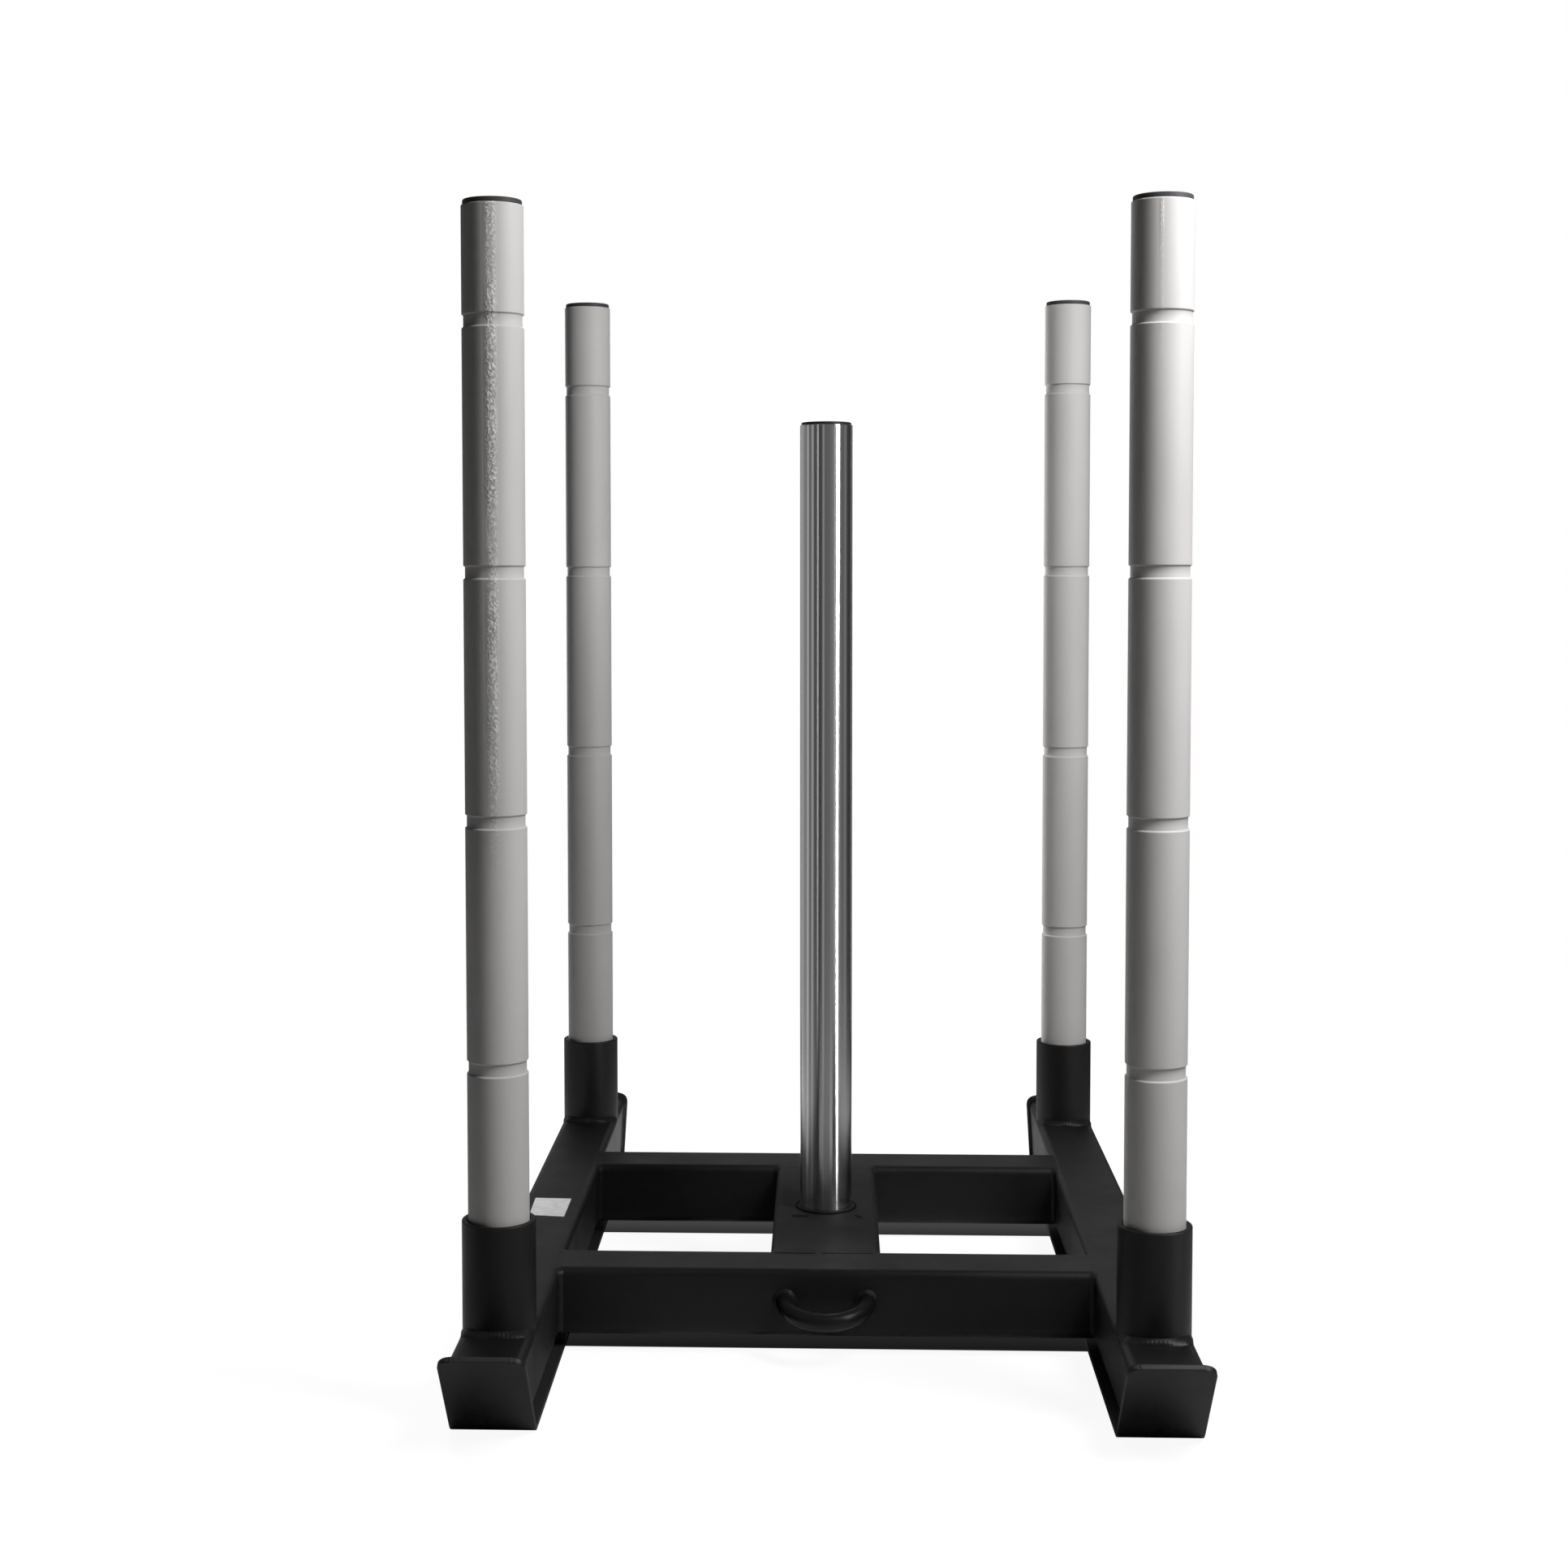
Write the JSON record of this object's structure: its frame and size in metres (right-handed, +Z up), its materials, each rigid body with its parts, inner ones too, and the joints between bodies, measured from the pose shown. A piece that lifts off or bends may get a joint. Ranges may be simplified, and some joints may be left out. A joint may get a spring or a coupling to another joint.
{
  "type": "weight sled",
  "caption": "Push and pull sled: two skis under a square-tube frame, a chromed post for weight plates, loose push poles standing in round sockets, and a tow eye.",
  "frame": {"origin": "on the floor under the middle of the weight post, which is the bottom centre of the bounding box", "axes": "+Z up, -Y towards the tow eye and the direction of pulling, +X to the right when looking along +Y"},
  "size_m": [0.605, 0.9104, 0.9883],
  "materials": {
    "black_coat": "satin black powder coat with a fine orange-peel",
    "grey_coat": "satin light grey powder coat",
    "chrome": "bright chrome plating on a round tube",
    "black_plastic": "matte moulded plastic"
  },
  "bodies": {
    "root": {"left_rail": "black_coat", "right_rail": "black_coat", "left_ski": "black_coat", "right_ski": "black_coat", "left_runner": "black_coat", "right_runner": "black_coat", "front_crossmember": "black_coat", "rear_crossmember": "black_coat", "centre_beam": "black_coat", "tow_eye": "black_coat", "post_weld": "black_coat", "front_left_socket": "black_coat", "front_right_socket": "black_coat", "rear_left_socket": "black_coat", "rear_right_socket": "black_coat", "weight_post": "chrome", "post_cap": "black_plastic"},
    "front_left_pole": {"front_left_pole": "grey_coat", "front_left_pole_cap": "black_plastic"},
    "front_right_pole": {"front_right_pole": "grey_coat", "front_right_pole_cap": "black_plastic"},
    "rear_left_pole": {"rear_left_pole": "grey_coat", "rear_left_pole_cap": "black_plastic"},
    "rear_right_pole": {"rear_right_pole": "grey_coat", "rear_right_pole_cap": "black_plastic"}
  },
  "joints": [
    {"name": "front_left_pole_lift", "type": "slide", "parent": "root", "child": "front_left_pole", "axis": [0, 0, 1], "range_m": [0, 0.12]},
    {"name": "front_right_pole_lift", "type": "slide", "parent": "root", "child": "front_right_pole", "axis": [0, 0, 1], "range_m": [0, 0.12]},
    {"name": "rear_left_pole_lift", "type": "slide", "parent": "root", "child": "rear_left_pole", "axis": [0, 0, 1], "range_m": [0, 0.12]},
    {"name": "rear_right_pole_lift", "type": "slide", "parent": "root", "child": "rear_right_pole", "axis": [0, 0, 1], "range_m": [0, 0.12]}
  ]
}
